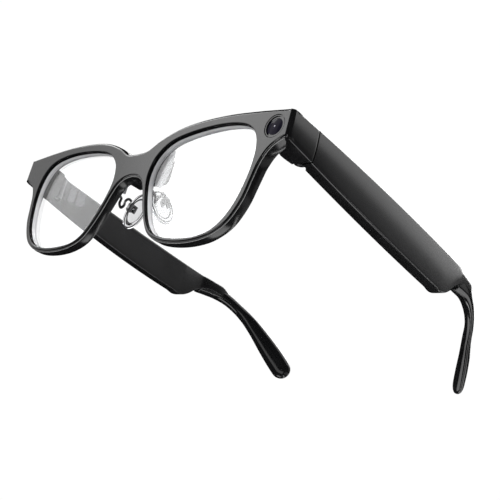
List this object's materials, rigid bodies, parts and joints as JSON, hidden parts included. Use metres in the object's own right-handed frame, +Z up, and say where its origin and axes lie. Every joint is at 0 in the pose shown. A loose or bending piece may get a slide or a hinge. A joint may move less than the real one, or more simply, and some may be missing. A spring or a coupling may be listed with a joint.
{
  "type": "smart glasses",
  "caption": "Black smart glasses: flat front with clear display lenses and a camera, wire-arm nose pads, and thick folding temples holding battery, board and speaker.",
  "frame": {"origin": "bottom centre of the bounding box, with the temples open", "axes": "+X towards the wearer's left, +Y from the front face back along the temples, +Z up; the front face is a plane square to Y"},
  "size_m": [0.1534, 0.1634, 0.0503],
  "materials": {
    "frame_plastic": "satin black injection moulding",
    "tip_plastic": "polished black",
    "lens_glass": "clear, anti-reflection coated",
    "waveguide_glass": "clear optical glass",
    "camera_trim": "gloss black",
    "camera_glass": "dark coated glass",
    "circuit": "solder mask",
    "ribbon": "polyimide film",
    "hinge_steel": "brushed",
    "arm_wire": "black plated",
    "silicone": "clear soft silicone",
    "battery_foil": "laminated foil",
    "speaker_body": "matte",
    "grille_mesh": "fine mesh",
    "contact_gold": "gold plated"
  },
  "bodies": {
    "front": {"front_shell": "frame_plastic", "brow_cover": "frame_plastic", "brow_ribbon": "ribbon", "bridge_housing": "frame_plastic", "left_projector": "frame_plastic", "right_projector": "frame_plastic", "left_lens": "lens_glass", "right_lens": "lens_glass", "left_waveguide": "waveguide_glass", "right_waveguide": "waveguide_glass", "camera_ring": "camera_trim", "camera_window": "camera_glass", "camera_barrel": "camera_trim", "camera_board": "circuit", "left_hinge_front": "hinge_steel", "right_hinge_front": "hinge_steel", "left_hinge_screws": "hinge_steel", "right_hinge_screws": "hinge_steel", "left_hinge_pin": "hinge_steel", "right_hinge_pin": "hinge_steel", "left_pad_arm": "arm_wire", "right_pad_arm": "arm_wire", "left_pad_screw": "hinge_steel", "right_pad_screw": "hinge_steel"},
    "left_pad": {"left_nose_pad": "silicone"},
    "right_pad": {"right_nose_pad": "silicone"},
    "left_temple": {"left_temple_shell": "frame_plastic", "left_inner_cover": "frame_plastic", "left_hinge_rear": "hinge_steel", "left_leaf_screws": "hinge_steel", "left_hinge_cover": "frame_plastic", "left_battery": "battery_foil", "left_circuit_board": "circuit", "left_speaker": "speaker_body", "left_speaker_grille": "grille_mesh", "left_tip_core": "hinge_steel", "left_temple_tip": "tip_plastic"},
    "right_temple": {"right_temple_shell": "frame_plastic", "right_inner_cover": "frame_plastic", "right_hinge_rear": "hinge_steel", "right_leaf_screws": "hinge_steel", "right_hinge_cover": "frame_plastic", "right_battery": "battery_foil", "right_circuit_board": "circuit", "right_speaker": "speaker_body", "right_speaker_grille": "grille_mesh", "right_tip_core": "hinge_steel", "right_temple_tip": "tip_plastic", "button_switch": "hinge_steel", "charging_contacts": "contact_gold"},
    "button": {"capture_button": "frame_plastic"}
  },
  "joints": [
    {"name": "left_temple_fold", "type": "hinge", "parent": "front", "child": "left_temple", "pos_m": [0.0682, -0.06738, 0.04029], "axis": [0, 0, 1], "range_deg": [0, 88]},
    {"name": "right_temple_fold", "type": "hinge", "parent": "front", "child": "right_temple", "pos_m": [-0.0682, -0.06738, 0.04029], "axis": [0, 0, -1], "range_deg": [0, 76]},
    {"name": "left_pad_tilt", "type": "hinge", "parent": "front", "child": "left_pad", "pos_m": [0.01006, -0.06967, 0.02538], "axis": [0.1873, 0.9675, 0.17], "range_deg": [-8, 8]},
    {"name": "right_pad_tilt", "type": "hinge", "parent": "front", "child": "right_pad", "pos_m": [-0.01006, -0.06967, 0.02538], "axis": [0.1873, -0.9675, -0.17], "range_deg": [-8, 8]},
    {"name": "button_press", "type": "slide", "parent": "right_temple", "child": "button", "axis": [0, 0, -1], "range_m": [0, 0.0003], "stiffness_N_per_m": 400}
  ]
}
